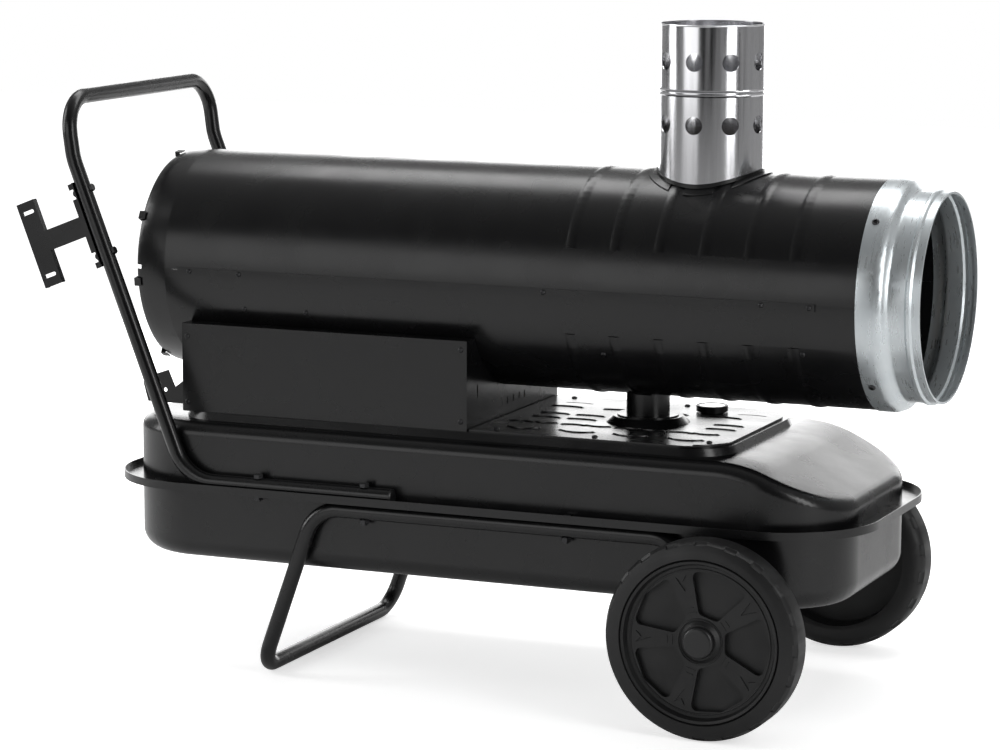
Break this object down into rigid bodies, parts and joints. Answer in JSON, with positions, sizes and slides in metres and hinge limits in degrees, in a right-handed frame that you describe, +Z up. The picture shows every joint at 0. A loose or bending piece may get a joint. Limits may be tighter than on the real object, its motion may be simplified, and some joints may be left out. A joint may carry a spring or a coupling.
{
  "type": "indirect-fired diesel heater",
  "caption": "Indirect-fired diesel heater: a round drum with a flue on top and a warm-air spigot, over a pressed fuel tank with a push handle, foot bar and wheels.",
  "frame": {"origin": "on the floor, under the middle of the heater's outline", "axes": "X along the drum towards the warm-air outlet, Y across, away from the side with the cord bracket, Z up"},
  "size_m": [1.3398, 0.664, 0.94],
  "materials": {
    "black_coat": "semi-gloss black powder coat",
    "stainless": "polished stainless sheet",
    "zinc": "zinc-plated sheet",
    "steel": "bare steel",
    "fixing": "blackened steel fixings",
    "heat_steel": "heat-resisting steel",
    "cast_alloy": "cast alloy",
    "brass": "turned brass",
    "copper_pipe": "copper fuel pipe",
    "ceramic": "glazed ceramic insulator",
    "black_plastic": "matt black moulded plastic",
    "gloss_black": "gloss black plastic",
    "red_plastic": "red plastic",
    "lamp_lens": "amber lens",
    "clear_bowl": "pale plastic bowl",
    "board_green": "circuit board laminate",
    "float_white": "white plastic",
    "wheel_black": "moulded black rubber and plastic"
  },
  "bodies": {
    "chassis": {"drum_upper_shell": "black_coat", "drum_lower_shell": "black_coat", "intake_cowl": "black_coat", "intake_guard": "black_coat", "guard_clips": "black_plastic", "outlet_collar": "zinc", "heat_exchanger": "heat_steel", "combustion_chamber": "heat_steel", "exchanger_brackets": "steel", "flue_tube": "stainless", "flue_saddle": "black_coat", "burner_tube": "steel", "air_swirler": "heat_steel", "fuel_nozzle": "brass", "nozzle_line": "copper_pipe", "ignition_electrodes": "ceramic", "flame_sensor": "black_plastic", "fan_motor": "cast_alloy", "motor_bracket": "steel", "fuel_pump": "cast_alloy", "fuel_filter": "clear_bowl", "suction_line": "copper_pipe", "tank_upper_half": "black_coat", "tank_lower_half": "black_coat", "drain_plug": "steel", "heat_shield": "black_coat", "filler_neck": "steel", "filler_strainer": "float_white", "fuel_gauge": "black_plastic", "box_tray": "black_coat", "side_cover": "black_coat", "control_panel": "black_coat", "switch_frame": "gloss_black", "room_thermostat": "black_plastic", "overheat_cutout": "black_plastic", "pilot_lamp": "lamp_lens", "control_board": "board_green", "ignition_transformer": "black_plastic", "cable_gland": "black_plastic", "drum_support": "black_coat", "push_handle": "black_coat", "tube_plugs": "black_plastic", "stand_frame": "black_coat", "frame_bolts": "fixing", "wheel_axle": "steel", "cord_bracket": "black_coat", "bracket_bolts": "fixing"},
    "fan_rotor": {"fan_impeller": "cast_alloy", "motor_shaft": "steel", "pump_coupling": "black_plastic"},
    "near_wheel": {"wheel_near": "wheel_black", "hub_cap_near": "black_plastic"},
    "far_wheel": {"wheel_far": "wheel_black", "hub_cap_far": "black_plastic"},
    "cap": {"fuel_cap": "black_plastic"},
    "float": {"gauge_float": "float_white"},
    "pointer": {"gauge_pointer": "red_plastic"},
    "switch": {"rocker_switch": "gloss_black"},
    "knob": {"thermostat_knob": "black_plastic"},
    "reset": {"reset_button": "red_plastic"}
  },
  "joints": [
    {"name": "fan_spin", "type": "hinge", "parent": "chassis", "child": "fan_rotor", "pos_m": [-0.412, 0, 0.573], "axis": [1, 0, 0], "continuous": true},
    {"name": "near_wheel_spin", "type": "hinge", "parent": "chassis", "child": "near_wheel", "pos_m": [0.4277, -0.299, 0.1365], "axis": [0, 1, 0], "continuous": true},
    {"name": "far_wheel_spin", "type": "hinge", "parent": "chassis", "child": "far_wheel", "pos_m": [0.4277, 0.299, 0.1365], "axis": [0, 1, 0], "continuous": true},
    {"name": "cap_lift", "type": "slide", "parent": "chassis", "child": "cap", "axis": [0, 0, 1], "range_m": [0, 0.05]},
    {"name": "float_travel", "type": "slide", "parent": "chassis", "child": "float", "axis": [0, 0, 1], "range_m": [-0.07, 0.07]},
    {"name": "pointer_turn", "type": "hinge", "parent": "chassis", "child": "pointer", "pos_m": [0.288, 0.115, 0.375], "axis": [0, 0, 1], "range_deg": [-135.3, 135.3]},
    {"name": "switch_rock", "type": "hinge", "parent": "chassis", "child": "switch", "pos_m": [-0.04, 0.16402, 0.44], "axis": [1, 0, 0], "range_deg": [-8, 8]},
    {"name": "thermostat_turn", "type": "hinge", "parent": "chassis", "child": "knob", "pos_m": [-0.13, 0.18, 0.44], "axis": [0, -1, 0], "range_deg": [0, 280]},
    {"name": "reset_press", "type": "slide", "parent": "chassis", "child": "reset", "axis": [0, -1, 0], "range_m": [0, 0.003], "stiffness_N_per_m": 400}
  ],
  "couplings": [
    {"joint": "pointer_turn", "follows": "float_travel", "rad_per_m": 33.7}
  ]
}
